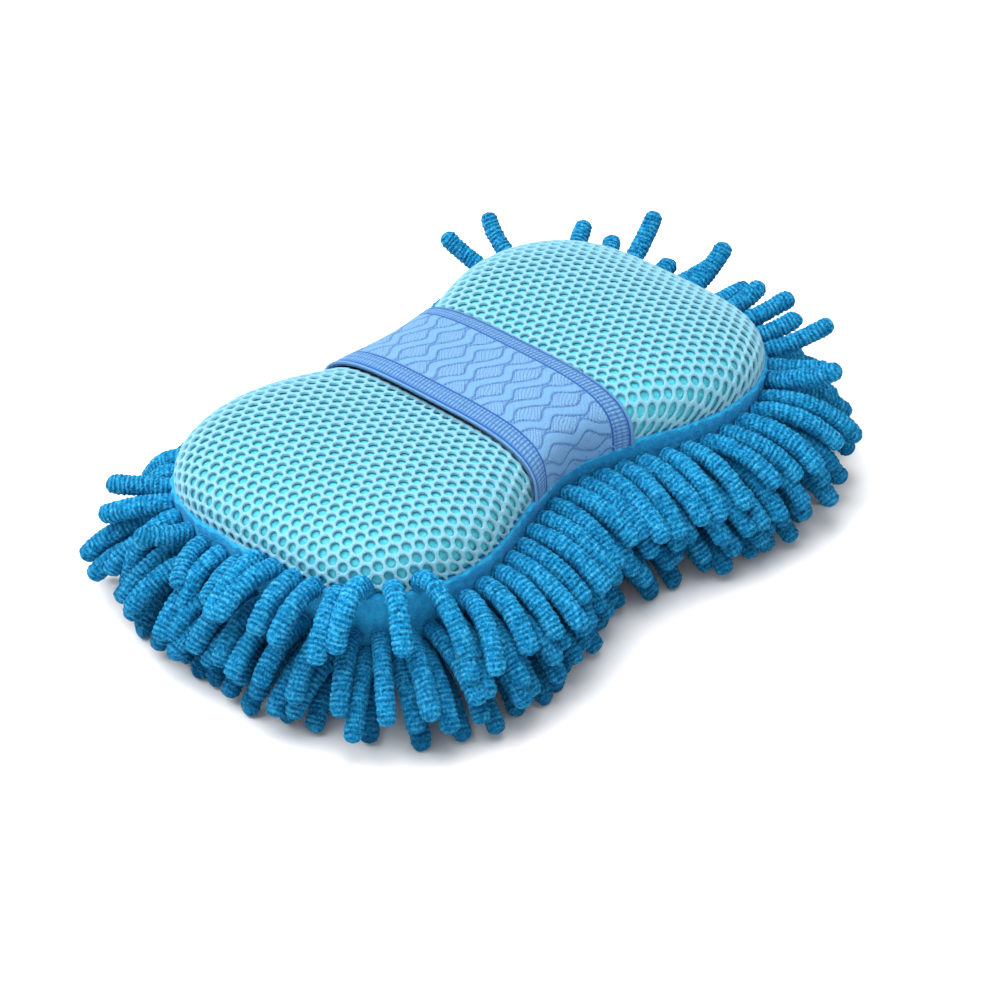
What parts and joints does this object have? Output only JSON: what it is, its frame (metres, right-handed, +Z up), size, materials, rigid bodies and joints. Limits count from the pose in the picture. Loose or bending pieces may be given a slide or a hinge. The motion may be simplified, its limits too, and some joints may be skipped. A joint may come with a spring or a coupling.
{
  "type": "wash mitt",
  "caption": "Figure-eight hand wash pad: foam core in a mesh top and cloth sole, chenille noodles round the sides and beneath, elastic hand strap over the waist.",
  "frame": {"origin": "on the ground under the middle of the pad", "axes": "+X along the pad's length, +Y across it, +Z up from the noodles it rests on to the mesh side with the hand strap"},
  "size_m": [0.2314, 0.1512, 0.0557],
  "materials": {
    "foam": "open-cell soft foam",
    "backing_knit": "matte fine knit",
    "mesh": "soft sheen knitted mesh with round holes",
    "cloth": "matte brushed knit",
    "thread": "twisted polyester sewing thread",
    "strap": "woven elastic with raised lozenges and ribbed borders",
    "chenille": "ribbed velvety chenille microfibre"
  },
  "bodies": {
    "pad": {"foam_core": "foam", "mesh_backing": "backing_knit", "mesh_cover": "mesh", "base_cloth": "cloth", "seam_stitches": "thread", "strap_end_near": "strap", "strap_end_far": "strap", "strap_stitches_near": "thread", "strap_stitches_far": "thread", "noodle_row_1": "chenille", "noodle_row_2": "chenille", "noodle_row_3": "chenille", "noodle_row_4": "chenille", "guard_tufts": "chenille", "sole_row_1": "chenille", "sole_row_2": "chenille", "sole_row_3": "chenille", "sole_row_4": "chenille", "sole_row_5": "chenille"},
    "strap": {"strap_band": "strap"}
  },
  "joints": [
    {"name": "strap_lift", "type": "slide", "parent": "pad", "child": "strap", "axis": [0, 0, 1], "range_m": [0, 0.022], "stiffness_N_per_m": 400, "deforming": ["strap_end_near", "strap_end_far"]}
  ]
}
